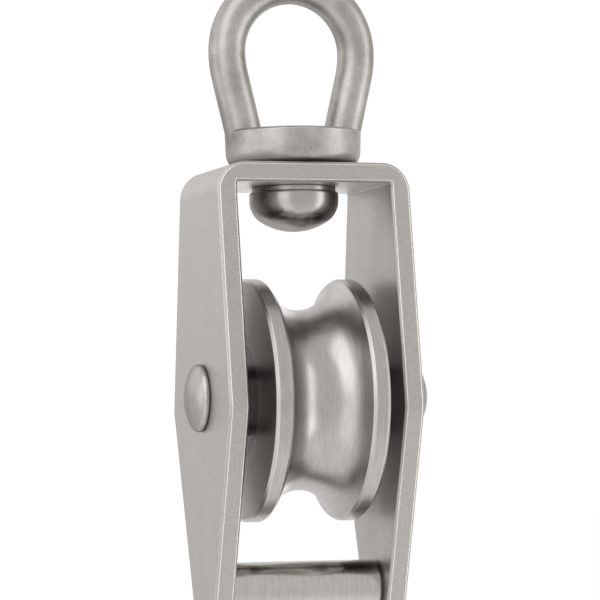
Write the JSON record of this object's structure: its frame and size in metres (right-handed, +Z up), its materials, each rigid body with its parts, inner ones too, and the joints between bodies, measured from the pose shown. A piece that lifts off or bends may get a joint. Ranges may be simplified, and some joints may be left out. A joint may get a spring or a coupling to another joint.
{
  "type": "mooring block",
  "caption": "Pulley block for rope: a grooved sheave on a riveted axle in a bent strip frame, with a swivelling hanging eye above and a becket bar below",
  "frame": {"origin": "the block's hanging point: the crown of the opening in the eye, on the swivel's axis", "axes": "+X along the sheave's axle to the high rivet head, +Y from the front of the block to the back, +Z up along the swivel's axis"},
  "size_m": [0.0327, 0.0316, 0.0867],
  "materials": {
    "eye_steel": "polished satin stainless steel",
    "rivet_steel": "smooth polished stainless steel",
    "strip_steel": "fine matt satin stainless steel",
    "sheave_steel": "turned and polished stainless steel",
    "bar_steel": "drawn stainless steel bar"
  },
  "bodies": {
    "eye_body": {"swivel_eye": "eye_steel", "swivel_rivet": "rivet_steel"},
    "frame_body": {"frame": "strip_steel", "axle_rivet": "rivet_steel", "becket_bar": "bar_steel"},
    "sheave_body": {"sheave": "sheave_steel"}
  },
  "joints": [
    {"name": "swivel", "type": "hinge", "parent": "eye_body", "child": "frame_body", "pos_m": [0, 0, -0.0229], "axis": [0, 0, 1], "continuous": true},
    {"name": "sheave_spin", "type": "hinge", "parent": "frame_body", "child": "sheave_body", "pos_m": [0, 0, -0.05205], "axis": [1, 0, 0], "continuous": true}
  ]
}
